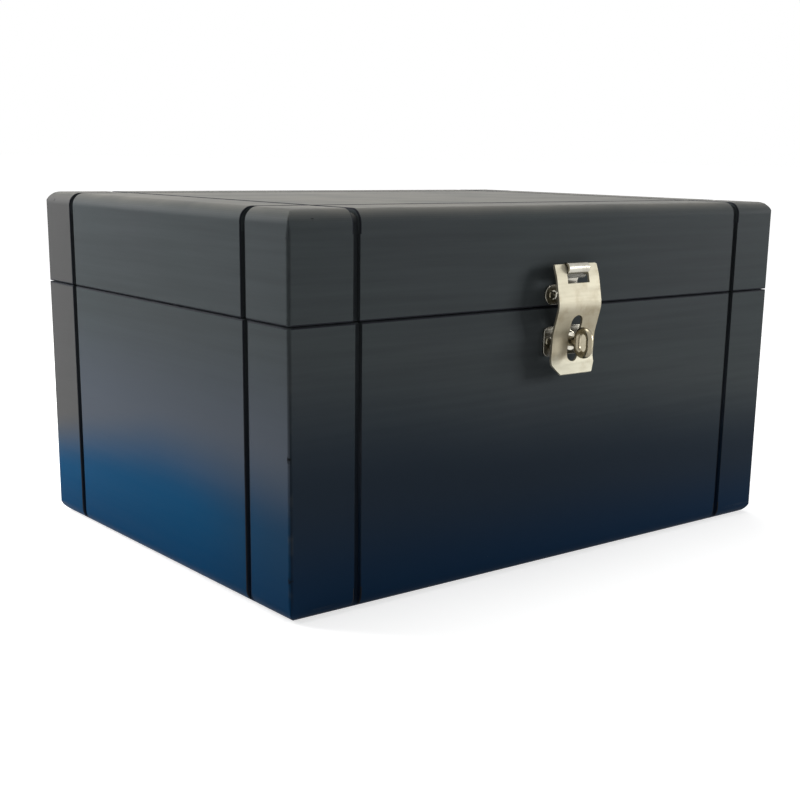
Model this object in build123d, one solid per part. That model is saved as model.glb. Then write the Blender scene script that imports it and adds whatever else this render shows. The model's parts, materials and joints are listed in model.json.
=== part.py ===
from build123d import *
import math
import os

# Wooden lock box: a body and a lid of glued boards, two surface hinges at the back, and a nickel
# hasp at the front whose flap drops over a swivel padlock eye.
# Millimetres. Origin under the middle of the box, +Z up, front (hasp) towards -Y, +X to the right
# of someone who faces the front.

# Outer size of the closed box
box_width = 270.0
box_depth = 200.0
box_height = 150.0
lid_height = 40.2
seam_gap = 0.4

# Boards
wall = 10.0
top_thickness = 9.0
bottom_thickness = 9.0
rebate = 5.0
corner_radius = 1.5
top_round = 5.5
foot_round = 6.0
rim_ease = 0.6

# Routed decoration: one groove near each corner on every wall, also over the lid
groove_width = 3.0
groove_depth = 1.8
groove_from_left = 30.3
groove_from_right = 26.8
groove_from_front = 28.6
groove_from_back = 27.0
lid_groove_slip = 1.0

# Screws: pan heads on plain punched holes, simplified to prisms because there are many
screw_sides = 12
screw_head_radius = 1.9
screw_head_height = 0.8
screw_shank_radius = 1.35
screw_length = 8.0
hole_clearance = 0.05

# Back hinges
hinge_sheet = 1.2
hinge_width = 30.0
hinge_leaf_height = 14.0
hinge_corner = 2.0
hinge_spacing = 150.0
barrel_radius = 2.2
barrel_clearance = 0.3
pin_radius = 1.1
pin_proud = 0.3
running_clearance = 0.05
knuckle_gap = 0.3
hinge_screw_spread = 19.0
hinge_screw_drop = 8.7

# Hasp, all of one sheet
hasp_sheet = 1.0
hasp_width = 24.0
part_gap = 0.3

# Bracket on the lid: obround plate with a tongue that curls round the bar of the flap
bracket_height = 8.0
bracket_above_seam = 0.9
bracket_screw_spread = 15.6
tongue_width = 11.6
tongue_root = 0.5
tongue_bend = 3.0
tongue_lean = 26.0
curl_clearance = 0.24
curl_angle = 198.0
curl_tail = 3.3

# Flap: bowed sheet with a bar at the top and a slot for the eye
flap_axis_standoff = 5.4
bar_height = 2.2
bar_tilt = 20.0
bar_run = 2.4
wing_rise = 0.6
tongue_slot_height = 4.8
tongue_slot_clearance = 0.4
flap_corner = 1.0
bow_above_seam = 0.9
bow_standoff = 8.9
bow_bend = 10.0
waist_above_eye = 3.0
waist_standoff = 5.5
waist_bend = 9.0
lip_height = 5.2
lip_standoff = 5.0
lip_kick = 2.6
lip_bend = 7.0
eye_slot_width = 6.2
eye_slot_above = 11.0
eye_slot_below = 8.2
flap_below_slot = 4.8
lip_corner_width = 3.2
lip_corner_height = 4.0

# Plate on the body, with a pressed boss that carries the eye
eye_below_seam = 14.1
eye_plate_height = 12.0
eye_plate_corner = 2.5
eye_plate_screw_spread = 17.6
boss_top_radius = 3.7
boss_base_radius = 5.0

# Swivel eye: oval wire ring on a neck, riveted inside the boss
eye_wire = 2.9
eye_ring_height = 12.8
eye_ring_depth = 9.7
eye_neck_radius = 2.1
eye_neck_length = 2.0
eye_stem_radius = 1.5
rivet_radius = 2.4
rivet_thickness = 0.9
rivet_play = 0.1

# Places worked out from the sizes above
front_y = -box_depth / 2
back_y = box_depth / 2
body_height = box_height - lid_height - seam_gap
lid_rim_z = body_height + seam_gap
seam_z = body_height + seam_gap / 2
eye_z = seam_z - eye_below_seam
hinge_axis_y = back_y + barrel_clearance + barrel_radius
flap_axis_y = front_y - flap_axis_standoff
far = 4 * max(box_width, box_depth, box_height)


def side_profile(length, low, high, low_radius, high_radius):
    """Upright rectangle with its own radius at the low and the high corners."""
    face = Pos(0, (low + high) / 2) * Rectangle(length, high - low)
    face = fillet(face.vertices().sort_by(Axis.Y)[-2:], high_radius)
    return fillet(face.vertices().sort_by(Axis.Y)[:2], low_radius)


def rounded_block(low, high, low_radius, high_radius):
    """Block of the box's outline, rounded along its low edges, its high edges and its corners."""
    plan = Pos(0, 0, low) * extrude(RectangleRounded(box_width, box_depth, corner_radius), high - low)
    across = Plane.XZ * side_profile(box_width, low, high, low_radius, high_radius)
    along = Plane.YZ * side_profile(box_depth, low, high, low_radius, high_radius)
    return plan & extrude(across, box_depth, both=True) & extrude(along, box_width, both=True)


def groove_core(size, top, top_radius):
    """Upright outline at the bottom of a groove: sides and top, open below the box."""
    face = Pos(0, (top - far) / 2) * Rectangle(size - 2 * groove_depth, top + far)
    if top_radius > 0:
        face = fillet(face.vertices().sort_by(Axis.Y)[-2:], top_radius)
    return face


def groove_cutters(slip, top, top_radius):
    """Four bands, as wide as a groove, that run up one wall, over the top and down the other."""
    cutters = []
    for x in (groove_from_left - slip - box_width / 2, box_width / 2 - groove_from_right):
        core = extrude(Plane.YZ * groove_core(box_depth, top, top_radius), groove_width, both=True)
        band = Box(groove_width, far, far)
        cutters.append(Pos(x, 0, 0) * (band - core))
    for y in (groove_from_front + slip - box_depth / 2, box_depth / 2 - groove_from_back):
        core = extrude(Plane.XZ * groove_core(box_width, top, top_radius), groove_width, both=True)
        band = Box(far, groove_width, far)
        cutters.append(Pos(0, y, 0) * (band - core))
    return cutters


def body_form():
    """Outer form of the body, with its grooves."""
    form = rounded_block(0, body_height, foot_round, rim_ease)
    for cutter in groove_cutters(0, far / 2, 0):
        form -= cutter
    return form


def lid_form():
    """Outer form of the lid, with grooves that also cross its top."""
    form = rounded_block(lid_rim_z, box_height, rim_ease, top_round)
    core_radius = top_round - groove_depth
    for cutter in groove_cutters(lid_groove_slip, box_height - groove_depth, core_radius):
        form -= cutter
    return form


def long_wall(form, side, low, high):
    """Front or back board: full width, with a rebate behind each end for the side boards."""
    y = side * (box_depth - wall) / 2
    board = form & Pos(0, y, (low + high) / 2) * Box(box_width, wall, high - low)
    for end in (-1, 1):
        x = end * (box_width - wall) / 2
        cut_y = side * (box_depth / 2 - wall + rebate / 2)
        board -= Pos(x, cut_y, (low + high) / 2) * Box(wall, rebate, high - low)
    return board


def short_wall(form, side, low, high):
    """Left or right board, which ends in the rebates of the front and back boards."""
    length = box_depth - 2 * (wall - rebate)
    x = side * (box_width - wall) / 2
    return form & Pos(x, 0, (low + high) / 2) * Box(wall, length, high - low)


def panel(form, low, high):
    """Bottom or top panel, glued over the ends of the walls."""
    return form & Pos(0, 0, (low + high) / 2) * Box(box_width, box_depth, high - low)


def screw_prism(radius, low, high):
    """Upright many-sided prism: the shank or head of a screw, or its hole."""
    return Pos(0, 0, low) * extrude(RegularPolygon(radius, screw_sides), high - low)


def screw_at(place, normal):
    """Wood screw; the place is the middle of the underside of its head."""
    shank = screw_prism(screw_shank_radius, -screw_length, 0)
    head = screw_prism(screw_head_radius, 0, screw_head_height)
    return Plane(origin=place, z_dir=normal) * (shank + head)


def screw_hole_at(place, normal):
    """Hole for a screw through a plate and into the board behind it."""
    radius = screw_shank_radius + hole_clearance
    hole = screw_prism(radius, -screw_length - hole_clearance, screw_head_height)
    return Plane(origin=place, z_dir=normal) * hole


def hinge_screw_places(side):
    """Undersides of the heads of the hinge screws on the body (side -1) or the lid (side 1)."""
    places = []
    for hinge_x in (-hinge_spacing / 2, hinge_spacing / 2):
        for offset in (-hinge_screw_spread / 2, hinge_screw_spread / 2):
            places.append((hinge_x + offset, back_y + hinge_sheet, seam_z + side * hinge_screw_drop))
    return places


def bracket_screw_places():
    """Undersides of the heads of the two screws of the bracket on the lid."""
    z = seam_z + bracket_above_seam + bracket_height / 2
    half = bracket_screw_spread / 2
    return [(x, front_y - hasp_sheet, z) for x in (-half, half)]


def eye_plate_screw_places():
    """Undersides of the heads of the two screws of the plate on the body."""
    half = eye_plate_screw_spread / 2
    return [(x, front_y - hasp_sheet, eye_z) for x in (-half, half)]


def screws(places, normal):
    """Group of like screws."""
    return Compound(children=[screw_at(place, normal) for place in places])


def drill(shape, places, normal):
    """Shape with a screw hole at each place."""
    for place in places:
        shape -= screw_hole_at(place, normal)
    return shape


def knuckle_spans():
    """Ends along X of the three knuckles of a hinge, from left to right."""
    step = (hinge_width + knuckle_gap) / 3
    left = -hinge_width / 2
    return [(left + i * step, left + (i + 1) * step - knuckle_gap) for i in range(3)]


def hinge_leaf(side):
    """Leaf round X = 0: the body's leaf (side -1) has the outer knuckles, the lid's the middle one."""
    spans = knuckle_spans()
    own = spans[1:2] if side > 0 else [spans[0], spans[2]]
    others = [spans[0], spans[2]] if side > 0 else spans[1:2]
    z = seam_z + side * hinge_leaf_height / 2
    outline = Plane.XZ * Pos(0, z) * Rectangle(hinge_width, hinge_leaf_height)
    outer = outline.vertices().sort_by(Axis.Z)
    outline = fillet(outer[-2:] if side > 0 else outer[:2], hinge_corner)
    leaf = Pos(0, back_y + hinge_sheet, 0) * extrude(outline, hinge_sheet)
    room = 2 * (barrel_radius + barrel_clearance)
    for low, high in others:
        width = high - low + 2 * knuckle_gap
        leaf -= Pos((low + high) / 2, hinge_axis_y, seam_z) * Box(width, room, room)
    for low, high in own:
        barrel = Rot(0, 90, 0) * Cylinder(barrel_radius, high - low)
        leaf += Pos((low + high) / 2, hinge_axis_y, seam_z) * barrel
    bore = Rot(0, 90, 0) * Cylinder(pin_radius + running_clearance, 2 * hinge_width)
    return leaf - Pos(0, hinge_axis_y, seam_z) * bore


def hinge_pin():
    """Plain pin round X = 0 whose ends stand a little proud of the outer knuckles."""
    pin = Cylinder(pin_radius, hinge_width + 2 * pin_proud)
    return Pos(0, hinge_axis_y, seam_z) * Rot(0, 90, 0) * pin


def tongue_run():
    """Length of the straight part of the tongue, from its bend to the curl."""
    lean = math.radians(tongue_lean)
    radius = curl_radius()
    reach = flap_axis_standoff - hasp_sheet / 2
    return (reach - tongue_bend * (1 - math.cos(lean)) - radius * math.cos(lean)) / math.sin(lean)


def curl_radius():
    """Middle radius of the curl: it clears the corners of the flap's bar."""
    bar_corner = math.hypot(hasp_sheet / 2, bar_height / 2)
    return bar_corner + curl_clearance + hasp_sheet / 2


def flap_axis_z():
    """Height of the flap's bar: it follows from the bracket and the tongue."""
    lean = math.radians(tongue_lean)
    start = seam_z + bracket_above_seam + bracket_height + tongue_root
    rise = tongue_bend * math.sin(lean) + tongue_run() * math.cos(lean)
    return start + rise - curl_radius() * math.sin(lean)


def hasp_bracket():
    """Obround plate on the lid with the curled tongue that the flap hangs on."""
    plate_z = seam_z + bracket_above_seam + bracket_height / 2
    outline = Plane.XZ * Pos(0, plate_z) * SlotOverall(hasp_width, bracket_height)
    plate = Pos(0, front_y, 0) * extrude(outline, hasp_sheet)
    root_y = front_y - hasp_sheet / 2
    bend_z = plate_z + bracket_height / 2 + tongue_root
    root = Line((root_y, plate_z), (root_y, bend_z))
    bend = JernArc(root @ 1, root % 1, tongue_bend, tongue_lean)
    run = Line(bend @ 1, bend @ 1 + (bend % 1) * tongue_run())
    curl = JernArc(run @ 1, run % 1, curl_radius(), curl_angle)
    tail = Line(curl @ 1, curl @ 1 + (curl % 1) * curl_tail)
    section = Plane.YZ * trace(root + bend + run + curl + tail, hasp_sheet)
    tongue = extrude(section, tongue_width / 2, both=True)
    return drill(plate + tongue, bracket_screw_places(), (0, -1, 0))


def flap_line():
    """Middle line of the flap's sheet in the YZ plane, from its top edge to its lip."""
    tilt = math.radians(bar_tilt)
    axis_z = flap_axis_z()
    top = (flap_axis_y + bar_height * math.sin(tilt), axis_z + bar_height * math.cos(tilt))
    down = bar_height / 2 + bar_run
    neck = (flap_axis_y - down * math.sin(tilt), axis_z - down * math.cos(tilt))
    bow = (front_y - bow_standoff, seam_z + bow_above_seam)
    waist = (front_y - waist_standoff, eye_z + waist_above_eye)
    bottom_z = eye_z - eye_slot_below - flap_below_slot
    lip = (front_y - lip_standoff, bottom_z + lip_height)
    edge = (front_y - lip_standoff - lip_kick, bottom_z)
    radii = (bow_bend, bow_bend, waist_bend, lip_bend)
    return FilletPolyline(top, neck, bow, waist, lip, edge, radius=radii)


def flap_outline():
    """Front outline of the flap: top corners eased, bottom corners cut off."""
    half = hasp_width / 2
    top_z = flap_axis_z() + bar_height / 2 + wing_rise
    lip_z = eye_z - eye_slot_below - flap_below_slot
    below = lip_z - hasp_sheet
    cut = lip_corner_width * (lip_corner_height + hasp_sheet) / lip_corner_height
    outline = Polyline(
        (-half, top_z),
        (-half, lip_z + lip_corner_height),
        (cut - half, below),
        (half - cut, below),
        (half, lip_z + lip_corner_height),
        (half, top_z),
        close=True,
    )
    face = make_face(outline)
    return fillet(face.vertices().sort_by(Axis.Y)[-2:], flap_corner)


def eye_slot(low, high):
    """Upright slot with round ends."""
    place = Pos(0, (low + high) / 2) * Rot(0, 0, 90)
    return Plane.XZ * place * SlotOverall(high - low, eye_slot_width)


def hasp_flap():
    """Bowed flap with the bar between two wings, the tongue's window and the eye's long slot."""
    sheet = extrude(Plane.YZ * trace(flap_line(), hasp_sheet), hasp_width, both=True)
    reach = 2 * (bow_standoff + lip_kick)
    flap = sheet & Pos(0, front_y, 0) * extrude(Plane.XZ * flap_outline(), reach)
    slot = eye_slot(eye_z - eye_slot_below, eye_z + eye_slot_above)
    flap -= Pos(0, front_y, 0) * extrude(slot, reach)
    window_width = tongue_width + 2 * tongue_slot_clearance
    window_z = flap_axis_z() - (bar_height + tongue_slot_height) / 2
    notch_z = flap_axis_z() + (bar_height + hasp_width) / 2
    flap -= Pos(0, front_y - reach / 2, window_z) * Box(window_width, reach, tongue_slot_height)
    return flap - Pos(0, front_y - reach / 2, notch_z) * Box(window_width, reach, hasp_width)


def flap_inner_standoff():
    """Distance from the front board to the back of the flap at the height of the eye."""
    span = (eye_z + waist_above_eye) - (eye_z - eye_slot_below - flap_below_slot + lip_height)
    share = waist_above_eye / span
    return waist_standoff + (lip_standoff - waist_standoff) * share - hasp_sheet / 2


def eye_plate():
    """Plate on the front board with a pressed boss, open behind, where the eye turns."""
    outline = Plane.XZ * Pos(0, eye_z) * RectangleRounded(hasp_width, eye_plate_height, eye_plate_corner)
    plate = Pos(0, front_y, 0) * extrude(outline, hasp_sheet)
    height = flap_inner_standoff() - part_gap
    rise = height - hasp_sheet
    dome = Pos(0, 0, hasp_sheet + rise / 2) * Cone(boss_base_radius, boss_top_radius, rise)
    hollow = Pos(0, 0, rise / 2) * Cylinder(boss_top_radius - hasp_sheet, rise)
    hole = Cylinder(eye_stem_radius + running_clearance, 4 * height)
    to_front = Plane(origin=(0, front_y, eye_z), z_dir=(0, -1, 0))
    plate = plate + to_front * dome
    plate = plate - to_front * hollow - to_front * hole
    return drill(plate, eye_plate_screw_places(), (0, -1, 0))


def eye_ring():
    """Oval ring of round wire in the YZ plane: two half turns and two straight sides."""
    straight = eye_ring_height - eye_ring_depth
    oval = SlotCenterToCenter(straight, eye_ring_depth - eye_wire, rotation=90)
    path = (Plane.YZ * oval).face().outer_wire()
    return sweep(Plane(origin=path @ 0, z_dir=path % 0) * Circle(eye_wire / 2), path)


def padlock_eye():
    """Swivel eye: ring, neck, stem through the boss and the rivet head inside it."""
    boss_y = front_y - flap_inner_standoff() + part_gap
    neck_y = boss_y - rivet_play
    ring_y = neck_y - eye_neck_length - eye_ring_depth / 2
    neck_end = ring_y + (eye_ring_depth - eye_wire) / 2
    eye = Pos(0, ring_y, eye_z) * eye_ring()
    neck = Cylinder(eye_neck_radius, neck_y - neck_end)
    eye += Pos(0, (neck_y + neck_end) / 2, eye_z) * Rot(90, 0, 0) * neck
    rivet_y = boss_y + hasp_sheet + rivet_play
    stem = Cylinder(eye_stem_radius, rivet_y - neck_y + rivet_thickness)
    eye += Pos(0, (neck_y + rivet_y + rivet_thickness) / 2, eye_z) * Rot(90, 0, 0) * stem
    rivet = Cylinder(rivet_radius, rivet_thickness)
    return eye + Pos(0, rivet_y + rivet_thickness / 2, eye_z) * Rot(90, 0, 0) * rivet


def body_parts():
    """Boards and hardware that stay with the body."""
    form = body_form()
    front = long_wall(form, -1, bottom_thickness, body_height)
    back = long_wall(form, 1, bottom_thickness, body_height)
    parts = {
        "front_board": drill(front, eye_plate_screw_places(), (0, -1, 0)),
        "back_board": drill(back, hinge_screw_places(-1), (0, 1, 0)),
        "left_board": short_wall(form, -1, bottom_thickness, body_height),
        "right_board": short_wall(form, 1, bottom_thickness, body_height),
        "bottom_panel": panel(form, 0, bottom_thickness),
        "hinge_body_screws": screws(hinge_screw_places(-1), (0, 1, 0)),
        "eye_plate": eye_plate(),
        "eye_plate_screws": screws(eye_plate_screw_places(), (0, -1, 0)),
        "padlock_eye": padlock_eye(),
    }
    for name, x in (("left", -hinge_spacing / 2), ("right", hinge_spacing / 2)):
        leaf = Pos(x, 0, 0) * hinge_leaf(-1)
        parts[name + "_hinge_body_leaf"] = drill(leaf, hinge_screw_places(-1), (0, 1, 0))
        parts[name + "_hinge_pin"] = Pos(x, 0, 0) * hinge_pin()
    return parts


def lid_parts():
    """Boards and hardware that move with the lid."""
    form = lid_form()
    top_z = box_height - top_thickness
    front = long_wall(form, -1, lid_rim_z, top_z)
    back = long_wall(form, 1, lid_rim_z, top_z)
    parts = {
        "lid_front_rail": drill(front, bracket_screw_places(), (0, -1, 0)),
        "lid_back_rail": drill(back, hinge_screw_places(1), (0, 1, 0)),
        "lid_left_rail": short_wall(form, -1, lid_rim_z, top_z),
        "lid_right_rail": short_wall(form, 1, lid_rim_z, top_z),
        "lid_top_panel": panel(form, top_z, box_height),
        "hinge_lid_screws": screws(hinge_screw_places(1), (0, 1, 0)),
        "hasp_bracket": hasp_bracket(),
        "bracket_screws": screws(bracket_screw_places(), (0, -1, 0)),
        "hasp_flap": hasp_flap(),
    }
    for name, x in (("left", -hinge_spacing / 2), ("right", hinge_spacing / 2)):
        leaf = Pos(x, 0, 0) * hinge_leaf(1)
        parts[name + "_hinge_lid_leaf"] = drill(leaf, hinge_screw_places(1), (0, 1, 0))
    return parts


os.makedirs("parts", exist_ok=True)
for node, shape in {**body_parts(), **lid_parts()}.items():
    export_step(shape, "parts/" + node + ".step")
print("flap axis", flap_axis_y, round(flap_axis_z(), 3))
print("eye centre", round(eye_z, 3), "hinge axis", hinge_axis_y, seam_z)
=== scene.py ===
"""Painted wooden lock box: finishes, rounded edges, screw heads and studio, built around the frame."""
import json
import math

import bmesh
import bpy
from bpy.props import FloatProperty, FloatVectorProperty, IntProperty, PointerProperty
from bpy.types import Operator, Panel, PropertyGroup
from mathutils import Matrix, Vector


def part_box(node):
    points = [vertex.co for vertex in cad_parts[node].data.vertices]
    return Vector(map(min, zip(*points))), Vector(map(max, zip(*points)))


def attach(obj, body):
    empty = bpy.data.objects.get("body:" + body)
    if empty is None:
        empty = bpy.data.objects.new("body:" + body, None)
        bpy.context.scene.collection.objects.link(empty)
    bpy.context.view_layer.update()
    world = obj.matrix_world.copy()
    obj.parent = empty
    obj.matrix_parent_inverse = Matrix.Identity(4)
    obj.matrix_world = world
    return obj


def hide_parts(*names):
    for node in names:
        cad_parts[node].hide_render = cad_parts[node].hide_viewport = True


bl_info = {
    "name": "Wooden lock box",
    "version": (1, 0, 0),
    "blender": (4, 5, 0),
    "location": "3D View > Sidebar > Lock box",
    "description": "Paint, bare wood, nickel hardware, screw heads and studio of a wooden lock box",
    "category": "Object",
}

MM = 0.001

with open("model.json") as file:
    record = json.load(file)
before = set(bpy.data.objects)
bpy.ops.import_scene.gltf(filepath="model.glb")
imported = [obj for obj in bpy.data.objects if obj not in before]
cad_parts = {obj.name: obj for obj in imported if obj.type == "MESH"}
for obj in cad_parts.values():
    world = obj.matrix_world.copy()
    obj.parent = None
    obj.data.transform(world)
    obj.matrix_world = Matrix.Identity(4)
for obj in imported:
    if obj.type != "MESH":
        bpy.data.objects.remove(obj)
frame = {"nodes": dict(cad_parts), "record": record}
bpy.context.view_layer.update()
BOX_LOW = Vector(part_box("bottom_panel")[0])
BOX_HIGH = Vector(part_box("lid_top_panel")[1])
SEAM_Z = (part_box("front_board")[1].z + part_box("lid_front_rail")[0].z) / 2
HOLLOWS = [opening["box_m"] for opening in frame["record"]["physics"]["openings"]]
FLOOR_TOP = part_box("bottom_panel")[1][2]
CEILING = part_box("lid_top_panel")[0][2]
SIDE_INNER_X = abs(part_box("left_board")[1][0])
SIDE_END_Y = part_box("left_board")[1][1]
BACK_INNER_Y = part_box("back_board")[0][1]

# Middle of each routed groove, and the rounding of the box's top and foot.
GROOVE_X = (-0.1052, 0.1082)
GROOVE_Y = (-0.0709, 0.073)
TOP_ROUND = 5.5 * MM
FOOT_ROUND = 6.0 * MM

# How the faces of a board are told apart.
GROOVE_REACH = 2.6 * MM
# Depths under the form, and heights off the seam, of the faces that take painted shade.
GROOVE_DEPTHS = (0.03 * MM, 2.2 * MM)
SEAM_BAND = (0.22 * MM, 0.85 * MM)
HOLLOW_SLACK = 0.6 * MM
JOINT_NEAR = 0.05 * MM
NARROW_FACE = 0.2 * MM
SIDEWAYS_NORMAL = 0.7
FLAT_ANGLE = math.radians(0.05)
CRISP_ANGLE = math.radians(50)

BODY_BOARDS = ("front_board", "back_board", "left_board", "right_board", "bottom_panel")
LID_BOARDS = ("lid_front_rail", "lid_back_rail", "lid_left_rail", "lid_right_rail", "lid_top_panel")
HINGE_LEAVES = {
    "box": ("left_hinge_body_leaf", "right_hinge_body_leaf"),
    "lid": ("left_hinge_lid_leaf", "right_hinge_lid_leaf"),
}
HINGE_PINS = ("left_hinge_pin", "right_hinge_pin")
SCREW_NODES = {
    "box": ("hinge_body_screws", "eye_plate_screws"),
    "lid": ("hinge_lid_screws", "bracket_screws"),
}

# Scale of the scratches along X, Y and Z.
BRUSHED = (60.0, 900.0, 900.0)
DRAWN = (500.0, 500.0, 90.0)

# The painted blue reflection on the sides sinks this much faster toward the back than toward the ends.
REAR_LEAN = 1.5

WHITE = (1.0, 1.0, 1.0)
FLOOR_SIZE = 30.0
GLOW_SPAN = (0.35, 2.5)
# Name, place, target, side in metres and power in watts of each lamp.
LAMPS = (
    ("left_window", (-0.52, 0.6, 0.4), (-0.12, 0.03, 0.07), 0.4, 8.3),
    ("right_key", (1.27, -0.8, 0.33), (0.0, -0.1, 0.09), 0.42, 15.1),
    ("top_soft", (0.05, 0.25, 1.6), (0.0, 0.0, 0.1), 1.3, 21.0),
)


def srgb(red, green, blue):
    """Linear colour of a screen colour written from 0 to 255."""
    return tuple((c / 12.92 if c <= 0.04045 else ((c + 0.055) / 1.055) ** 2.4)
                 for c in (red / 255, green / 255, blue / 255))


def colour_property(name, description, red, green, blue):
    """Colour that a user may change, with its default as a screen colour."""
    return FloatVectorProperty(name=name, description=description, subtype="COLOR", size=3,
                               min=0.0, max=1.0, default=srgb(red, green, blue))


def length_property(name, description, millimetres):
    """Length that a user may change, with its default in millimetres."""
    return FloatProperty(name=name, description=description, unit="LENGTH", default=millimetres * MM,
                         min=0.0, precision=5)


def share_property(name, description, share):
    """Number from 0 to 1 that a user may change."""
    return FloatProperty(name=name, description=description, subtype="FACTOR", min=0.0, max=1.0,
                         default=share)


class PaintSettings(PropertyGroup):
    """Colours and sizes of the painted outside and the bare inside."""

    charcoal: colour_property("Charcoal", "Colour of the paint above the foot", 70, 73, 76)
    charcoal_cool: colour_property("Cool charcoal", "Second tone that clouds the paint", 66, 73, 74)
    # Painted shade in the grooves, on their rounded edges and along the lid's seam.
    groove_and_seam_shade: colour_property("Groove", "Colour inside the routed grooves", 42, 44, 49)
    # Painted reflection of a blue surface below the box: slate on the sides, blue toward the foot; lighter
    # on the lit sides, darker on the shaded front.
    side_slate_reflection: colour_property("Side slate", "Slate that the sides take on below the lid", 76, 82, 91)
    # Painted highlight: paler paint on the left side behind its groove, where light falls stronger.
    left_strip_highlight: colour_property("Worn strip", "Paler paint of the left side behind its groove", 82, 82, 82)
    side_blue_reflection: colour_property("Side blue", "Blue that the paint runs to on the sides", 4, 64, 100)
    side_foot_reflection: colour_property("Side foot", "Deeper blue at the foot of the sides", 0, 53, 88)
    front_blue_reflection: colour_property("Front blue", "Ink blue that the paint runs to on the front", 36, 45, 55)
    front_foot_reflection: colour_property("Front foot", "Deeper blue at the foot of the front", 17, 39, 62)
    # Light dust and a painted sheen on the lid's top, standing in for the glancing reflection of the pale
    # surroundings.
    dust_and_sheen: colour_property("Dusty top", "Paint of the lid's top, dulled by dust", 120, 118, 112)
    rubbed: colour_property("Rubbed edge", "Paint rubbed thin along an edge", 88, 90, 90)
    nick: colour_property("Nick", "Small dark nicks on the corners", 26, 27, 29)
    # Where the painted blue reflection begins, how its top wanders and how it sinks.
    fade_top_side: length_property("Fade top, sides", "Height where the blue begins at the sides", 43)
    fade_top_front: length_property("Fade top, front", "Height where the ink begins in front", 67)
    fade_drift: length_property("Fade drift", "How far the top of the fade wanders", 14)
    fade_lean: share_property("Fade lean", "How much the fade sinks to the right and the back", 0.14)
    paint_roughness: share_property("Paint roughness", "Roughness of the satin paint", 0.44)
    paint_gloss: share_property("Paint gloss", "Specular level of the paint", 0.012)
    bare_roughness: share_property("Bare roughness", "Roughness of the bare wood", 0.62)
    edge_round: length_property("Edge rounding", "Bevel on the crisp edges of the boards", 0.5)
    early_wood: colour_property("Early wood", "Light tone of the bare wood inside", 216, 190, 152)
    late_wood: colour_property("Late wood", "Darker lines of the bare wood inside", 184, 148, 106)


class MetalSettings(PropertyGroup):
    """Colours and sizes of the hinges, hasp and screws."""

    # One nickel in three tones as painted light and shade: lighter on the plates and hinges, darker on the
    # flap, darkest on the eye and pins.
    nickel: colour_property("Nickel", "Satin plating of the flap", 168, 165, 150)
    plate: colour_property("Plate nickel", "Brighter plating of the plates and hinges", 186, 183, 172)
    wire_nickel_shaded: colour_property("Wire nickel", "Plating of the swivel eye and pins", 150, 142, 122)
    # Darker plating for random patches, and on the flap also for painted shade about its slot.
    tarnish_and_shade: colour_property("Tarnish", "Darker patches of the plating", 128, 118, 96)
    flap_roughness: share_property("Flap roughness", "Roughness of the satin flap", 0.62)
    plate_roughness: share_property("Plate roughness", "Roughness of the plates", 0.24)
    wire_roughness: share_property("Wire roughness", "Roughness of the polished wire", 0.27)
    # Painted shade on the flap: none up to the lip top, most about the slot, less above it.
    lip_top: length_property("Lip top", "Height up to which the flap's lip is rubbed bright", 86)
    slot_top: length_property("Slot top", "Height up to which the flap is dullest", 105)
    slot_painted_shade: share_property("Slot dullness", "How dull the flap is about its slot", 0.56)
    top_painted_shade: share_property("Top dullness", "How dull the flap is above its slot", 0.28)
    sheet_edge: length_property("Sheet edge", "Rounding along the cut edges of the sheet", 0.16)
    head_radius: length_property("Head radius", "Radius of a screw head", 1.85)
    head_height: length_property("Head height", "Height of a screw head", 0.8)
    head_crown: length_property("Head crown", "Part of the head's height that is domed", 0.45)
    shank_radius: length_property("Shank radius", "Radius of a screw's shank", 1.25)
    shank_length: length_property("Shank length", "Length of a screw's shank", 7.8)
    recess_span: length_property("Recess span", "Length of the cross in a screw head", 2.1)
    recess_width: length_property("Recess width", "Width of an arm of the cross", 0.42)
    recess_depth: length_property("Recess depth", "Depth of the cross", 0.5)
    seed: IntProperty(name="Seed", description="Seed of the turns of the screws", default=7)


class StudioSettings(PropertyGroup):
    """Camera, lamps and floor."""

    camera_x: FloatProperty(name="Camera X", description="Place of the camera", unit="LENGTH",
                            default=-0.38282)
    camera_y: FloatProperty(name="Camera Y", description="Place of the camera", unit="LENGTH",
                            default=-0.47734)
    camera_z: FloatProperty(name="Camera Z", description="Height of the camera", unit="LENGTH",
                            default=0.1686)
    heading: FloatProperty(name="Heading", description="Turn of the camera from the +Y direction",
                           unit="ROTATION", default=0.68379)
    tilt: FloatProperty(name="Tilt", description="Dip of the camera below the horizon",
                        unit="ROTATION", default=0.23508)
    roll: FloatProperty(name="Roll", description="Roll of the camera", unit="ROTATION",
                        default=0.01657)
    lens: FloatProperty(name="Lens", description="Focal length in millimetres on a 36 mm sensor",
                        default=58.506)
    shift_x: FloatProperty(name="Shift X", description="Sideways shift of the lens", default=-0.02451)
    shift_y: FloatProperty(name="Shift Y", description="Upward shift of the lens", default=0.08328)
    floor_colour: colour_property("Floor", "Colour of the floor", 205, 205, 205)
    sky_fill: FloatProperty(name="Sky fill", description="Light of the pale surroundings",
                            default=0.1)
    floor_glow: share_property("Floor glow", "Glow of the floor beside the box, for white paper", 0.64)


def settings():
    """The three groups of settings."""
    scene = bpy.context.scene
    return scene.lock_box_paint, scene.lock_box_metal, scene.lock_box_studio


def add_node(tree, kind, inputs=None, **options):
    """New node with its options set and its inputs linked or filled in."""
    node = tree.nodes.new(kind)
    for key, value in options.items():
        setattr(node, key, value)
    for key, value in (inputs or {}).items():
        if isinstance(value, bpy.types.NodeSocket):
            tree.links.new(value, node.inputs[key])
        else:
            node.inputs[key].default_value = value
    return node


def calculate(tree, operation, first, second=0.0, clamp=False):
    """Result of one step of arithmetic."""
    node = add_node(tree, "ShaderNodeMath", {0: first, 1: second}, operation=operation)
    node.use_clamp = clamp
    return node.outputs[0]


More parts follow.
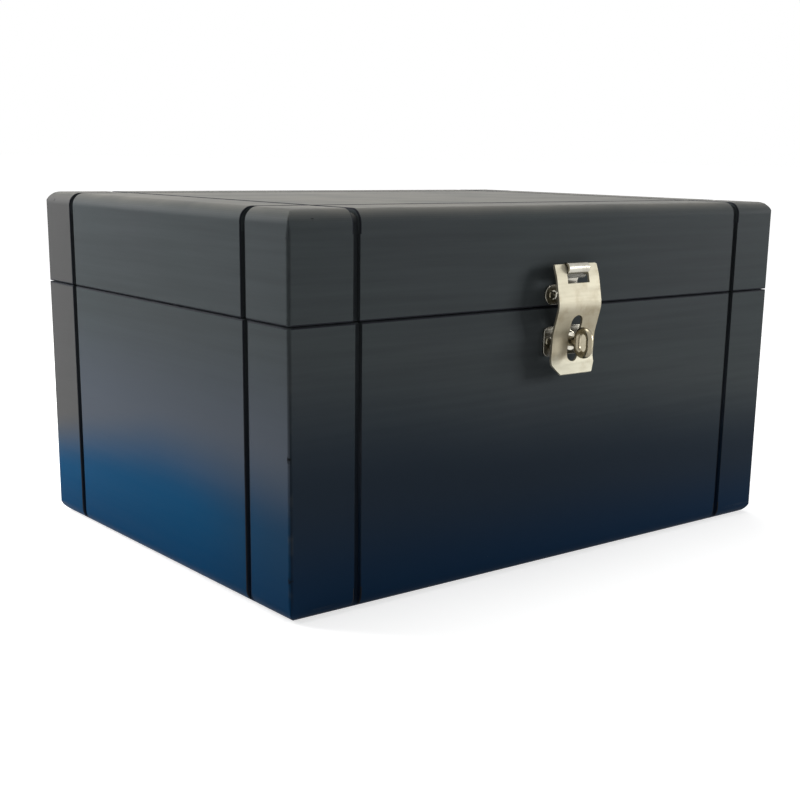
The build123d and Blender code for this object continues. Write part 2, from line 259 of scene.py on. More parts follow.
def blend_colours(tree, share, first, second, mode="MIX"):
    """Colour between two colours."""
    values = {0: share, 6: first, 7: second}
    for key in (6, 7):
        if isinstance(values[key], (tuple, list)) or hasattr(values[key], "hsv"):
            values[key] = (*values[key][:3], 1.0)
    node = add_node(tree, "ShaderNodeMix", values, data_type="RGBA", blend_type=mode)
    return node.outputs[2]


def span(tree, value, low, high, low_result=0.0, high_result=1.0):
    """Value turned smoothly from one range to another."""
    node = add_node(tree, "ShaderNodeMapRange", {
        "Value": value, "From Min": low, "From Max": high,
        "To Min": low_result, "To Max": high_result,
    }, interpolation_type="SMOOTHSTEP")
    return node.outputs["Result"]


def place(tree):
    """Place on the object, in metres."""
    return add_node(tree, "ShaderNodeTexCoord").outputs["Object"]


def stretched(tree, scale):
    """Place on the object with its own scale along X, Y and Z."""
    mapping = add_node(tree, "ShaderNodeMapping", {"Vector": place(tree), "Scale": scale})
    return mapping.outputs["Vector"]


def noise(tree, vector, scale, detail=4.0, roughness=0.5, distortion=0.0):
    """Noise from 0 to 1."""
    node = add_node(tree, "ShaderNodeTexNoise", {
        "Vector": vector, "Scale": scale, "Detail": detail, "Roughness": roughness,
        "Distortion": distortion,
    })
    return node.outputs["Fac"]


def face_share(tree, name):
    """Number stored on the faces of a piece."""
    return add_node(tree, "ShaderNodeAttribute", attribute_name=name).outputs["Fac"]


def bump(tree, height, strength, distance, normal=None):
    """Normal roughened by a height."""
    inputs = {"Height": height, "Strength": strength, "Distance": distance}
    if normal is not None:
        inputs["Normal"] = normal
    return add_node(tree, "ShaderNodeBump", inputs).outputs["Normal"]


def new_material(name):
    """Empty material with its shader and its tree."""
    material = bpy.data.materials.new(name)
    material.use_nodes = True
    tree = material.node_tree
    tree.nodes.clear()
    shader = add_node(tree, "ShaderNodeBsdfPrincipled")
    output = add_node(tree, "ShaderNodeOutputMaterial")
    tree.links.new(shader.outputs["BSDF"], output.inputs["Surface"])
    return material, tree, shader


def along_grain(tree, along, across):
    """Place drawn out along the grain: along Y on faces that look sideways, along X on all others."""
    long_way = stretched(tree, (along, across, across))
    side_way = stretched(tree, (across, along, across))
    node = add_node(tree, "ShaderNodeMix", {0: face_share(tree, "sideways"), 4: long_way, 5: side_way},
                    data_type="VECTOR")
    return node.outputs[1]


def fade_depth(tree, paint, side, axes):
    """How far a point lies below the top of the painted blue reflection, from 0 there to 1 at the foot."""
    rise = calculate(tree, "MULTIPLY", side, paint.fade_top_side - paint.fade_top_front)
    wander = noise(tree, place(tree), scale=9.0, detail=2.0)
    drift = calculate(tree, "MULTIPLY", wander, paint.fade_drift)
    wide = calculate(tree, "ABSOLUTE", axes["X"])
    deep = calculate(tree, "MULTIPLY", calculate(tree, "MAXIMUM", axes["Y"], 0.0), REAR_LEAN)
    in_front = calculate(tree, "ADD", axes["X"], axes["Y"])
    on_side = calculate(tree, "SUBTRACT", deep, wide)
    across = add_node(tree, "ShaderNodeMix", {0: side, 2: in_front, 3: on_side}).outputs[0]
    lean = calculate(tree, "MULTIPLY", across, -paint.fade_lean)
    top = calculate(tree, "ADD", calculate(tree, "ADD", rise, drift), paint.fade_top_front)
    top = calculate(tree, "ADD", top, lean)
    return calculate(tree, "DIVIDE", calculate(tree, "SUBTRACT", top, axes["Z"]), top)


def blue_reflection_to_foot(tree, paint, colour):
    """Painted reflection of a blue surface below: the colour runs to blue at the foot, by way of a bluish
    slate on the sides, lighter on the lit sides and darker on the shaded front.
    """
    axes = add_node(tree, "ShaderNodeSeparateXYZ", {"Vector": place(tree)}).outputs
    side = face_share(tree, "sideways")
    depth = fade_depth(tree, paint, side, axes)
    # Painted bluish reflection on the sides below the lid.
    slate = calculate(tree, "MULTIPLY", side, span(tree, axes["Z"], SEAM_Z, 0.5 * SEAM_Z))
    colour = blend_colours(tree, slate, colour, paint.side_slate_reflection)
    # Painted highlight on the left side behind its groove.
    behind = calculate(tree, "GREATER_THAN", axes["Y"], GROOVE_Y[1])
    on_left = calculate(tree, "LESS_THAN", axes["X"], 0.0)
    strip = calculate(tree, "MULTIPLY", side, calculate(tree, "MULTIPLY", behind, on_left))
    colour = blend_colours(tree, strip, colour, paint.left_strip_highlight)
    # Painted light and shade: the lit sides take the lighter blues, the shaded front the darker ones.
    past_corner = span(tree, axes["Y"], BOX_LOW.y, 0.2 * BOX_LOW.y, 0.5, 1.0)
    lit_side_share = calculate(tree, "MULTIPLY", side, past_corner)
    blue = blend_colours(tree, lit_side_share, paint.front_blue_reflection, paint.side_blue_reflection)
    foot = blend_colours(tree, lit_side_share, paint.front_foot_reflection, paint.side_foot_reflection)
    colour = blend_colours(tree, span(tree, depth, 0.0, 0.55), colour, blue)
    return blend_colours(tree, span(tree, depth, 0.5, 1.0), colour, foot)


def paint_colour(tree, paint, streaks):
    """Charcoal that fades to a painted blue reflection, with light dust and a painted sheen on the top,
    rubbed edges, and painted shade in the grooves and along the seam.
    """
    clouds = noise(tree, place(tree), scale=14.0, detail=3.0)
    colour = blend_colours(tree, clouds, paint.charcoal, paint.charcoal_cool)
    shade = span(tree, streaks, 0.25, 0.75, 0.9, 1.08)
    colour = blend_colours(tree, 1.0, colour, shade, "MULTIPLY")
    colour = blue_reflection_to_foot(tree, paint, colour)
    # Light dust and a painted sheen on the lid's top.
    specks = noise(tree, place(tree), scale=24.0, detail=4.0, roughness=0.6)
    dust = calculate(tree, "MULTIPLY", face_share(tree, "upward"), span(tree, specks, 0.2, 0.8, 0.5, 1.0))
    colour = blend_colours(tree, dust, colour, paint.dust_and_sheen)
    edge = face_share(tree, "edge")
    wear = noise(tree, place(tree), scale=70.0, detail=3.0, roughness=0.6)
    thin = calculate(tree, "MULTIPLY", edge, span(tree, wear, 0.45, 0.8, 0.0, 0.55))
    colour = blend_colours(tree, thin, colour, paint.rubbed)
    knocks = noise(tree, place(tree), scale=150.0, detail=3.0, roughness=0.6)
    chips = calculate(tree, "MULTIPLY", edge, span(tree, knocks, 0.6, 0.7))
    colour = blend_colours(tree, chips, colour, paint.nick)
    # Painted shade in the grooves, on their edges and along the seam.
    return blend_colours(tree, face_share(tree, "groove"), colour, paint.groove_and_seam_shade)


def bare_colour(tree, paint, brush):
    """Planed wood with darker lines along the grain."""
    rings = noise(tree, along_grain(tree, 3.0, 60.0), scale=1.0, detail=2.0, roughness=0.4,
                  distortion=0.8)
    lines = add_node(tree, "ShaderNodeTexWave", {
        "Vector": along_grain(tree, 1.5, 55.0), "Scale": 1.0,
        "Distortion": 7.0, "Detail": 3.0, "Detail Scale": 1.2,
    }, bands_direction="Z", wave_profile="SAW").outputs["Fac"]
    late = calculate(tree, "MULTIPLY", lines, rings)
    bare = blend_colours(tree, late, paint.early_wood, paint.late_wood)
    pores = span(tree, brush, 0.35, 0.7, 0.9, 1.03)
    return blend_colours(tree, 1.0, bare, pores, "MULTIPLY")


def painted_wood(name):
    """Satin charcoal paint over wood with a painted blue reflection at the foot, painted shade in the
    grooves and along the seam, and bare wood inside.
    """
    paint = settings()[0]
    material, tree, shader = new_material(name)
    streaks = noise(tree, along_grain(tree, 9.0, 260.0), scale=1.0, detail=6.0, roughness=0.6)
    brush = noise(tree, along_grain(tree, 30.0, 1400.0), scale=1.0, detail=3.0)
    peel = noise(tree, place(tree), scale=900.0, detail=2.0)
    is_bare = face_share(tree, "bare")
    colour = blend_colours(tree, is_bare, paint_colour(tree, paint, streaks),
                           bare_colour(tree, paint, brush))
    tree.links.new(colour, shader.inputs["Base Color"])

    gloss = span(tree, streaks, 0.2, 0.8, paint.paint_roughness - 0.05, paint.paint_roughness + 0.07)
    rough = add_node(tree, "ShaderNodeMix", {0: is_bare, 2: gloss, 3: paint.bare_roughness}).outputs[0]
    tree.links.new(rough, shader.inputs["Roughness"])
    shader.inputs["Specular IOR Level"].default_value = paint.paint_gloss

    normal = bump(tree, streaks, strength=0.16, distance=0.1 * MM)
    normal = bump(tree, brush, strength=0.2, distance=0.04 * MM, normal=normal)
    normal = bump(tree, peel, strength=0.15, distance=0.04 * MM, normal=normal)
    tree.links.new(normal, shader.inputs["Normal"])
    return material


def painted_flap_shade(tree, metal):
    """Painted shade on the flap: none on its lip, which stays bright, most about the slot, where the
    ring's shadow and reflections fall, less above it.
    """
    height = add_node(tree, "ShaderNodeSeparateXYZ", {"Vector": place(tree)}).outputs["Z"]
    above_lip = span(tree, height, metal.lip_top, metal.lip_top + 7.0 * MM)
    above_slot = span(tree, height, metal.slot_top, metal.slot_top + 9.0 * MM,
                      metal.slot_painted_shade, metal.top_painted_shade)
    return calculate(tree, "MULTIPLY", above_lip, above_slot)


def plated(name, plate, roughness, scratch_scale, dull=False):
    """Nickel plating with soft darker patches, fine scratches and a little orange peel; on the flap also
    painted shade about its slot.
    """
    metal = settings()[1]
    material, tree, shader = new_material(name)
    stains = noise(tree, place(tree), scale=160.0, detail=4.0, roughness=0.6)
    patches = span(tree, stains, 0.42, 0.75, 0.0, 0.35)
    if dull:
        # Painted shade about the flap's slot.
        patches = calculate(tree, "ADD", patches, painted_flap_shade(tree, metal), clamp=True)
    colour = blend_colours(tree, patches, plate, metal.tarnish_and_shade)
    tree.links.new(colour, shader.inputs["Base Color"])
    scratches = noise(tree, stretched(tree, scratch_scale), scale=1.0, detail=4.0, roughness=0.6)
    spread = 0.03 if dull else 0.08
    rough = span(tree, scratches, 0.3, 0.75, roughness - spread, roughness + spread)
    tree.links.new(rough, shader.inputs["Roughness"])
    shader.inputs["Metallic"].default_value = 1.0
    peel = noise(tree, place(tree), scale=700.0, detail=2.0)
    normal = bump(tree, scratches, strength=0.06, distance=0.03 * MM)
    normal = bump(tree, peel, strength=0.1, distance=0.05 * MM, normal=normal)
    tree.links.new(normal, shader.inputs["Normal"])
    return material


def material_named(name):
    """Material that all pieces of one finish share, made when it is first asked for."""
    found = bpy.data.materials.get(name)
    if found:
        return found
    metal = settings()[1]
    if name == "charcoal_paint":
        return painted_wood(name)
    if name == "nickel_flap_finish":
        return plated(name, metal.nickel, metal.flap_roughness, BRUSHED, dull=True)
    if name == "nickel_plate_finish":
        return plated(name, metal.plate, metal.plate_roughness, BRUSHED)
    if name == "nickel_wire_finish":
        return plated(name, metal.wire_nickel_shaded, metal.wire_roughness, DRAWN)
    raise ValueError("no finish is named " + name)


def merged_copy(node):
    """Mesh of a CAD node in one welded skin whose flat parts are single faces."""
    skin = bmesh.new()
    skin.from_mesh(frame["nodes"][node].data)
    bmesh.ops.remove_doubles(skin, verts=skin.verts, dist=0.001 * MM)
    bmesh.ops.dissolve_limit(skin, angle_limit=FLAT_ANGLE, verts=skin.verts, edges=skin.edges)
    bmesh.ops.recalc_face_normals(skin, faces=skin.faces)
    for face in skin.faces:
        face.smooth = True
    return skin


def depth_below_form(point):
    """How far a point lies under the outer form of the closed box, whose edges are rounded."""
    wall = min(point.x - BOX_LOW.x, BOX_HIGH.x - point.x, point.y - BOX_LOW.y, BOX_HIGH.y - point.y)
    above_foot = point.z - BOX_LOW.z
    below_top = BOX_HIGH.z - point.z
    level, edge = (above_foot, FOOT_ROUND) if above_foot < below_top else (below_top, TOP_ROUND)
    if level < edge and wall < edge:
        return edge - math.hypot(edge - level, edge - wall)
    return min(level, wall)


def near_groove(point):
    """Whether a point lies within the width of a routed groove."""
    across = min(abs(point.x - x) for x in GROOVE_X)
    along = min(abs(point.y - y) for y in GROOVE_Y)
    return min(across, along) < GROOVE_REACH


def in_hollow(point):
    """Whether a point lies on or in one of the box's inner spaces."""
    for low, high in HOLLOWS:
        if all(low[i] - HOLLOW_SLACK < point[i] < high[i] + HOLLOW_SLACK for i in range(3)):
            return True
    return False


def on_joint(point):
    """Whether a point lies where two boards of the closed box are glued."""
    if min(abs(point.z - FLOOR_TOP), abs(point.z - CEILING)) < JOINT_NEAR:
        return True
    outside = abs(point.x) > SIDE_INNER_X - JOINT_NEAR
    return outside and BACK_INNER_Y - JOINT_NEAR < abs(point.y) < SIDE_END_Y + JOINT_NEAR


def weigh_exposed_edges(skin):
    """Marks the crisp outer edges that show, so that only these are rounded."""
    weights = skin.edges.layers.float.new("bevel_weight_edge")
    for edge in skin.edges:
        middle = (edge.verts[0].co + edge.verts[1].co) / 2
        if len(edge.link_faces) == 2 and edge.is_convex and not on_joint(middle):
            if edge.calc_face_angle() > CRISP_ANGLE:
                edge[weights] = 1.0


def baked(obj):
    """Turns an object's modifiers into its plain mesh."""
    bpy.context.view_layer.update()
    graph = bpy.context.evaluated_depsgraph_get()
    mesh = bpy.data.meshes.new_from_object(obj.evaluated_get(graph))
    obj.modifiers.clear()
    obj.data = mesh
    mesh.name = obj.name
    return obj


def rounded(obj, width, method):
    """Rounds an object's edges, then shades it smooth but for the edges that stay crisp."""
    bevel = obj.modifiers.new("rounding", "BEVEL")
    bevel.width = width
    bevel.segments = 2
    bevel.limit_method = method
    bevel.angle_limit = math.radians(30)
    bevel.use_clamp_overlap = True
    baked(obj)
    obj.data.set_sharp_from_angle(angle=CRISP_ANGLE)
    weighted = obj.modifiers.new("shading", "WEIGHTED_NORMAL")
    weighted.keep_sharp = True
    return baked(obj)


def new_piece(name, skin):
    """Object with the mesh of a skin, without the shading that the CAD mesh came with."""
    mesh = bpy.data.meshes.new(name)
    skin.to_mesh(mesh)
    skin.free()
    if "custom_normal" in mesh.attributes:
        mesh.attributes.remove(mesh.attributes["custom_normal"])
    obj = bpy.data.objects.new(name, mesh)
    bpy.context.scene.collection.objects.link(obj)
    return obj


def mark_faces(mesh, name, test):
    """Stores on each face how far the test holds, from 0 to 1."""
    layer = mesh.attributes.new(name, "FLOAT", "FACE")
    for polygon in mesh.polygons:
        layer.data[polygon.index].value = float(test(polygon))


def finish_piece(obj, body, slot, material, *nodes):
    """Gives a piece its finish and its body, and lets it stand for its CAD nodes."""
    obj.data.materials.clear()
    obj.data.materials.append(material_named(material))
    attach(obj, body)
    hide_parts(*nodes)


def board_piece(node, body):
    """Painted board: exposed edges rounded, faces marked for painted shade in the grooves and along the
    seam, bare inside or edge.
    """
    paint = settings()[0]
    skin = merged_copy(node)
    weigh_exposed_edges(skin)
    obj = rounded(new_piece("painted_" + node, skin), paint.edge_round, "WEIGHT")

    # Share of painted shade: full on the grooves' rounded edges, less deeper in, and full on the eased
    # rims along the seam.
    def shade_in_grooves_and_seam(polygon):
        centre = polygon.center
        if in_hollow(centre):
            return 0.0
        depth = depth_below_form(centre)
        if near_groove(centre) and GROOVE_DEPTHS[0] < depth < GROOVE_DEPTHS[1]:
            return 0.4 if depth > paint.edge_round else 1.0
        return SEAM_BAND[0] < abs(centre.z - SEAM_Z) < SEAM_BAND[1]

    def is_edge(polygon):
        loop = [obj.data.vertices[i].co for i in polygon.vertices]
        around = sum((loop[i] - loop[i - 1]).length for i in range(len(loop)))
        thin = 2 * polygon.area / max(around, MM * MM)
        return thin < NARROW_FACE and not in_hollow(polygon.center)

    # Share of light dust and painted sheen on the upward faces of the lid's top.
    def dust_and_sheen_share(polygon):
        return max(0.0, polygon.normal.z) ** 2 if polygon.center.z > CEILING else 0.0

    mark_faces(obj.data, "groove", shade_in_grooves_and_seam)
    mark_faces(obj.data, "bare", lambda polygon: in_hollow(polygon.center))
    mark_faces(obj.data, "edge", is_edge)
    mark_faces(obj.data, "sideways", lambda polygon: abs(polygon.normal.x) > SIDEWAYS_NORMAL)
    mark_faces(obj.data, "upward", dust_and_sheen_share)
    finish_piece(obj, body, "painted_board", "charcoal_paint", node)


def metal_piece(node, body, slot, material, width):
    """Piece of hardware with its cut edges rounded."""
    obj = rounded(new_piece("nickel_" + node, merged_copy(node)), width, "ANGLE")
    finish_piece(obj, body, slot, material, node)


def loose_parts(node):
    """Lowest and highest corner of each separate solid of a CAD node, from left to right."""
    skin = merged_copy(node)
    waiting = set(skin.verts)
    parts = []
    while waiting:
        group = []
        queue = [waiting.pop()]
        while queue:
            vert = queue.pop()
            group.append(vert.co.copy())
            near = [edge.other_vert(vert) for edge in vert.link_edges]
            fresh = [other for other in near if other in waiting]
            waiting.difference_update(fresh)
            queue.extend(fresh)
        low = Vector([min(co[i] for co in group) for i in range(3)])
        high = Vector([max(co[i] for co in group) for i in range(3)])
        parts.append((low, high))
    skin.free()
    return sorted(parts, key=lambda part: tuple(part[0]))


def screw_seats(body):
    """Middle of the underside of each screw head on a body, and which way the head looks along Y."""
    metal = settings()[1]
    seats = []
    for node in SCREW_NODES[body]:
        for low, high in loose_parts(node):
            outward = 1.0 if low.y > 0 else -1.0
            outer = high.y if outward > 0 else low.y
            middle = (low + high) / 2
            seats.append((Vector((middle.x, outer - outward * metal.head_height, middle.z)), outward))
    return seats


def screw_tree():
    """Geometry tree: a pan-head screw with a crossed recess on each point, turned at random."""
    tree = bpy.data.node_groups.new("pan_head_screws", "GeometryNodeTree")
    inputs = {"Geometry": "NodeSocketGeometry"}
    for name in ("Head Radius", "Head Height", "Head Crown", "Shank Radius", "Shank Length",
                 "Recess Span", "Recess Width", "Recess Depth"):
        inputs[name] = "NodeSocketFloat"
    inputs["Seed"] = "NodeSocketInt"
    inputs["Material"] = "NodeSocketMaterial"
    for name, kind in inputs.items():
        tree.interface.new_socket(name=name, in_out="INPUT", socket_type=kind)
    tree.interface.new_socket(name="Geometry", in_out="OUTPUT", socket_type="NodeSocketGeometry")
    given = add_node(tree, "NodeGroupInput").outputs

    head = add_node(tree, "GeometryNodeMeshCylinder", {
        "Vertices": 32, "Side Segments": 1, "Fill Segments": 6,
        "Radius": given["Head Radius"], "Depth": given["Head Height"],
    }, fill_type="TRIANGLE_FAN")
    where = add_node(tree, "GeometryNodeInputPosition").outputs[0]
    axes = add_node(tree, "ShaderNodeSeparateXYZ", {0: where})
    across = calculate(tree, "SQRT", calculate(tree, "ADD",
                       calculate(tree, "POWER", axes.outputs["X"], 2.0),
                       calculate(tree, "POWER", axes.outputs["Y"], 2.0)))
    ratio = calculate(tree, "DIVIDE", across, given["Head Radius"])
    sink = calculate(tree, "MULTIPLY", calculate(tree, "POWER", ratio, 2.4), given["Head Crown"])
    is_top = calculate(tree, "GREATER_THAN", axes.outputs["Z"], 0.0)
    down = calculate(tree, "MULTIPLY", calculate(tree, "MULTIPLY", sink, is_top), -1.0)
    half = calculate(tree, "MULTIPLY", given["Head Height"], 0.5)
    offset = add_node(tree, "ShaderNodeCombineXYZ", {"Z": calculate(tree, "ADD", down, half)})
    domed = add_node(tree, "GeometryNodeSetPosition", {
        "Geometry": head.outputs["Mesh"], "Offset": offset.outputs[0],
    })

    shank = add_node(tree, "GeometryNodeMeshCylinder", {
        "Vertices": 24, "Radius": given["Shank Radius"],
        "Depth": calculate(tree, "ADD", given["Shank Length"], half),
    }, fill_type="NGON")
    low = calculate(tree, "SUBTRACT", half, given["Shank Length"])
    shank_place = add_node(tree, "ShaderNodeCombineXYZ", {"Z": calculate(tree, "MULTIPLY", low, 0.5)})
    moved = add_node(tree, "GeometryNodeTransform", {
        "Geometry": shank.outputs["Mesh"], "Translation": shank_place.outputs[0],
    })
    solid = add_node(tree, "GeometryNodeMeshBoolean", operation="UNION", solver="MANIFOLD")
    tree.links.new(domed.outputs[0], solid.inputs["Mesh 2"])
    tree.links.new(moved.outputs[0], solid.inputs["Mesh 2"])
    shape = solid.outputs["Mesh"]

    top = add_node(tree, "ShaderNodeCombineXYZ", {"Z": given["Head Height"]})
    deep = calculate(tree, "MULTIPLY", given["Recess Depth"], 2.0)
    for first, second in (("Recess Span", "Recess Width"), ("Recess Width", "Recess Span")):
        size = add_node(tree, "ShaderNodeCombineXYZ", {"X": given[first], "Y": given[second], "Z": deep})
        arm = add_node(tree, "GeometryNodeMeshCube", {"Size": size.outputs[0]})
        raised = add_node(tree, "GeometryNodeTransform", {
            "Geometry": arm.outputs["Mesh"], "Translation": top.outputs[0],
        })
        cut = add_node(tree, "GeometryNodeMeshBoolean", operation="DIFFERENCE", solver="MANIFOLD")
        tree.links.new(shape, cut.inputs["Mesh 1"])
        tree.links.new(raised.outputs[0], cut.inputs["Mesh 2"])
        shape = cut.outputs["Mesh"]
    clean = add_node(tree, "GeometryNodeMergeByDistance", {"Geometry": shape, "Distance": 0.01 * MM})

    outward = add_node(tree, "GeometryNodeInputNamedAttribute", {"Name": "outward"}, data_type="FLOAT")
    normal = add_node(tree, "ShaderNodeCombineXYZ", {"Y": outward.outputs[0]})
    aligned = add_node(tree, "FunctionNodeAlignRotationToVector", {"Vector": normal.outputs[0]}, axis="Z")
    turn = add_node(tree, "FunctionNodeRandomValue", {2: 0.0, 3: math.pi / 2, "Seed": given["Seed"]},
                    data_type="FLOAT")
    spin = add_node(tree, "ShaderNodeCombineXYZ", {"Z": turn.outputs[1]})
    turned = add_node(tree, "FunctionNodeRotateRotation", {
        "Rotation": aligned.outputs[0], "Rotate By": spin.outputs[0],
    }, rotation_space="LOCAL")
    placed = add_node(tree, "GeometryNodeInstanceOnPoints", {
        "Points": given["Geometry"], "Instance": clean.outputs[0], "Rotation": turned.outputs[0],
    })
    real = add_node(tree, "GeometryNodeRealizeInstances", {0: placed.outputs[0]})
    coated = add_node(tree, "GeometryNodeSetMaterial", {
        "Geometry": real.outputs[0], "Material": given["Material"],
    })
    result = add_node(tree, "NodeGroupOutput")
    tree.links.new(coated.outputs[0], result.inputs[0])
    return tree


def screws_piece(body):
    """All screws of one body as one plain mesh."""
    metal = settings()[1]
    points = bmesh.new()
    outward = points.verts.layers.float.new("outward")
    for seat, way in screw_seats(body):
        points.verts.new(seat)[outward] = way
    obj = new_piece("screws_on_" + body, points)
    tree = bpy.data.node_groups.get("pan_head_screws") or screw_tree()
    modifier = obj.modifiers.new("screws", "NODES")
    modifier.node_group = tree
    values = {
        "Head Radius": metal.head_radius, "Head Height": metal.head_height,
        "Head Crown": metal.head_crown, "Shank Radius": metal.shank_radius,
        "Shank Length": metal.shank_length, "Recess Span": metal.recess_span,
        "Recess Width": metal.recess_width, "Recess Depth": metal.recess_depth,
        "Seed": metal.seed, "Material": material_named("nickel_plate_finish"),
    }
    for item in tree.interface.items_tree:
        if item.in_out == "INPUT" and item.name in values:
            modifier[item.identifier] = values[item.name]
    baked(obj)
    obj.data.set_sharp_from_angle(angle=math.radians(35))
    finish_piece(obj, body, "screw", "nickel_plate_finish", *SCREW_NODES[body])


def is_seen(tree):
    """1 for rays that show the background: from the camera, from gloss and through glass."""
    path = add_node(tree, "ShaderNodeLightPath")
    gloss = calculate(tree, "MAXIMUM", path.outputs["Is Camera Ray"], path.outputs["Is Glossy Ray"])
    return calculate(tree, "MAXIMUM", gloss, path.outputs["Is Transmission Ray"])


def studio_world(studio):
    """White surroundings that light the object softly."""
    world = bpy.data.worlds.new("studio")
    world.use_nodes = True
    tree = world.node_tree
    tree.nodes.clear()
    strength = add_node(tree, "ShaderNodeMix", {0: is_seen(tree), 2: studio.sky_fill, 3: 1.0})
    sky = add_node(tree, "ShaderNodeBackground", {"Color": (*WHITE, 1.0), "Strength": strength.outputs[0]})
    output = add_node(tree, "ShaderNodeOutputWorld")
    tree.links.new(sky.outputs[0], output.inputs["Surface"])
    bpy.context.scene.world = world


def studio_floor(studio):
    """Pale floor that keeps the shadow of the box."""
    skin = bmesh.new()
    bmesh.ops.create_grid(skin, x_segments=1, y_segments=1, size=FLOOR_SIZE)
    floor = new_piece("studio_floor", skin)
    material, tree, shader = new_material("floor_finish")
    shader.inputs["Base Color"].default_value = (*studio.floor_colour, 1.0)
    shader.inputs["Roughness"].default_value = 0.9
    shader.inputs["Specular IOR Level"].default_value = 0.0
    away = add_node(tree, "ShaderNodeVectorMath", {0: place(tree)}, operation="LENGTH").outputs["Value"]
    glow = span(tree, away, *GLOW_SPAN, studio.floor_glow, 1.0)
    lift = calculate(tree, "MULTIPLY", is_seen(tree), glow)
    tree.links.new(lift, shader.inputs["Emission Strength"])
    shader.inputs["Emission Color"].default_value = (*WHITE, 1.0)
    floor.data.materials.append(material)


def area_lamp(name, position, target, size, energy):
    """Soft white lamp, square, that looks at a point."""
    data = bpy.data.lights.new(name, "AREA")
    data.shape = "SQUARE"
    data.size = size
    data.energy = energy
    data.color = WHITE
    lamp = bpy.data.objects.new(name, data)
    lamp.location = position
    lamp.rotation_mode = "QUATERNION"
    lamp.rotation_quaternion = (Vector(target) - Vector(position)).to_track_quat("-Z", "Y")
    bpy.context.scene.collection.objects.link(lamp)


def studio_camera(studio):
    """Camera at the viewing angle of the photograph."""
    data = bpy.data.cameras.new("studio_camera")
    data.sensor_width = 36.0
    data.lens = studio.lens
    data.shift_x = studio.shift_x
    data.shift_y = studio.shift_y
    data.clip_start = 0.01
    camera = bpy.data.objects.new("studio_camera", data)
    forward = Vector((math.sin(studio.heading) * math.cos(studio.tilt),
                      math.cos(studio.heading) * math.cos(studio.tilt), -math.sin(studio.tilt)))
    level = forward.cross(Vector((0.0, 0.0, 1.0))).normalized()
    upward = level.cross(forward)
    right = level * math.cos(studio.roll) + upward * math.sin(studio.roll)
    up = upward * math.cos(studio.roll) - level * math.sin(studio.roll)
    turn = Matrix((right, up, -forward)).transposed().to_4x4()
    where = Matrix.Translation((studio.camera_x, studio.camera_y, studio.camera_z))
    camera.matrix_world = where @ turn
    bpy.context.scene.collection.objects.link(camera)
    bpy.context.scene.camera = camera


class LOCKBOX_OT_body_boards(Operator):
    """Makes the painted boards of the body"""

    bl_idname = "lockbox.body_boards"
    bl_label = "Body boards"

    def execute(self, context):
        for node in BODY_BOARDS:
            board_piece(node, "box")
        return {"FINISHED"}


class LOCKBOX_OT_lid_boards(Operator):
    """Makes the painted rails and the top of the lid"""

    bl_idname = "lockbox.lid_boards"
    bl_label = "Lid boards"

    def execute(self, context):
        for node in LID_BOARDS:
            board_piece(node, "lid")
        return {"FINISHED"}


class LOCKBOX_OT_hinges(Operator):
    """Makes the leaves and pins of the back hinges"""

    bl_idname = "lockbox.hinges"
    bl_label = "Hinges"

    def execute(self, context):
        edge = settings()[1].sheet_edge
        for body, leaves in HINGE_LEAVES.items():
            for node in leaves:
                metal_piece(node, body, "nickel_plate", "nickel_plate_finish", edge)
        for node in HINGE_PINS:
            metal_piece(node, "box", "nickel_wire", "nickel_wire_finish", edge)
        return {"FINISHED"}


class LOCKBOX_OT_hasp(Operator):
    """Makes the bracket, the flap and the plate of the hasp"""

    bl_idname = "lockbox.hasp"
    bl_label = "Hasp"

    def execute(self, context):
        edge = settings()[1].sheet_edge
        metal_piece("hasp_bracket", "lid", "nickel_plate", "nickel_plate_finish", edge)
        metal_piece("hasp_flap", "flap", "nickel_plate", "nickel_flap_finish", edge)
        metal_piece("eye_plate", "box", "nickel_plate", "nickel_plate_finish", edge)
        return {"FINISHED"}


class LOCKBOX_OT_padlock_eye(Operator):
    """Makes the swivel eye"""

    bl_idname = "lockbox.padlock_eye"
    bl_label = "Padlock eye"

    def execute(self, context):
        edge = settings()[1].sheet_edge
        metal_piece("padlock_eye", "eye", "nickel_wire", "nickel_wire_finish", edge)
        return {"FINISHED"}


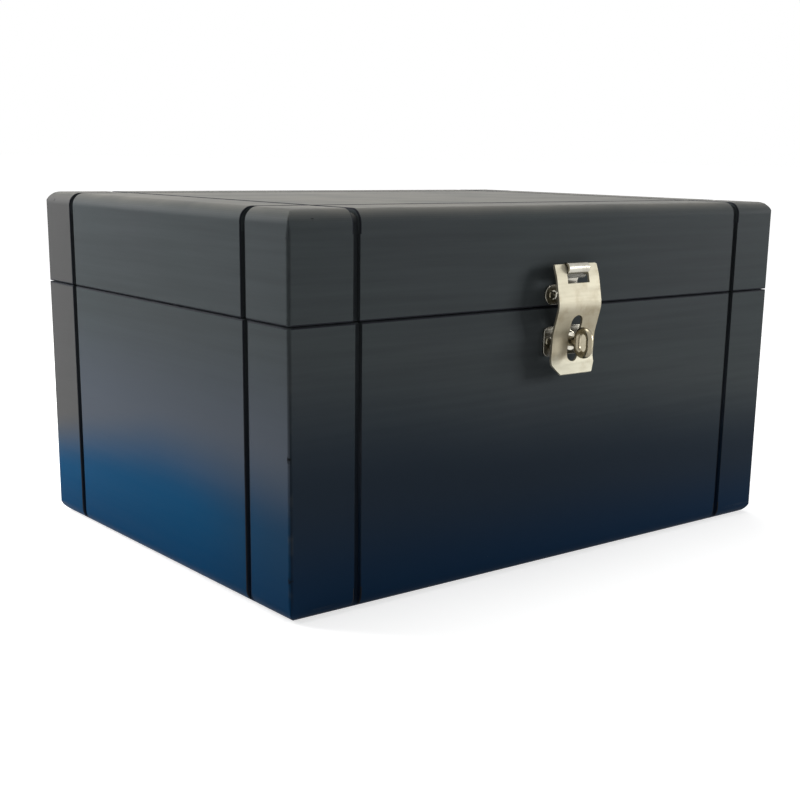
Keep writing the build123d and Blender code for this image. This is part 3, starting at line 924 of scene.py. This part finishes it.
class LOCKBOX_OT_screws(Operator):
    """Sets a pan-head screw with a crossed recess in every hole"""

    bl_idname = "lockbox.screws"
    bl_label = "Screws"

    def execute(self, context):
        for body in SCREW_NODES:
            screws_piece(body)
        return {"FINISHED"}


class LOCKBOX_OT_studio(Operator):
    """Makes the floor, the surroundings, the lamps and the camera"""

    bl_idname = "lockbox.studio"
    bl_label = "Studio"

    def execute(self, context):
        studio = settings()[2]
        context.scene.view_settings.view_transform = "Standard"
        studio_world(studio)
        studio_floor(studio)
        for lamp in LAMPS:
            area_lamp(*lamp)
        studio_camera(studio)
        return {"FINISHED"}


class LOCKBOX_PT_panel(Panel):
    """Steps and settings of the lock box"""

    bl_idname = "LOCKBOX_PT_panel"
    bl_label = "Lock box"
    bl_space_type = "VIEW_3D"
    bl_region_type = "UI"
    bl_category = "Lock box"

    def draw(self, context):
        for step in STEPS:
            self.layout.operator(step.bl_idname)
        for group in settings():
            for key in group.__annotations__:
                self.layout.prop(group, key)


SETTINGS = {
    "lock_box_paint": PaintSettings,
    "lock_box_metal": MetalSettings,
    "lock_box_studio": StudioSettings,
}
STEPS = (
    LOCKBOX_OT_body_boards,
    LOCKBOX_OT_lid_boards,
    LOCKBOX_OT_hinges,
    LOCKBOX_OT_hasp,
    LOCKBOX_OT_padlock_eye,
    LOCKBOX_OT_screws,
    LOCKBOX_OT_studio,
)


def register():
    """Registers the settings, the steps and the panel."""
    for name, group in SETTINGS.items():
        bpy.utils.register_class(group)
        setattr(bpy.types.Scene, name, PointerProperty(type=group))
    for cls in (*STEPS, LOCKBOX_PT_panel):
        bpy.utils.register_class(cls)


def unregister():
    """Takes everything back that register set up."""
    for cls in (LOCKBOX_PT_panel, *reversed(STEPS)):
        bpy.utils.unregister_class(cls)
    for name, group in SETTINGS.items():
        delattr(bpy.types.Scene, name)
        bpy.utils.unregister_class(group)


def main():
    """Builds the whole scene."""
    register()
    for step in STEPS:
        category, action = step.bl_idname.split(".")
        getattr(getattr(bpy.ops, category), action)()
    bpy.context.view_layer.update()


if __name__ == "__main__":
    main()
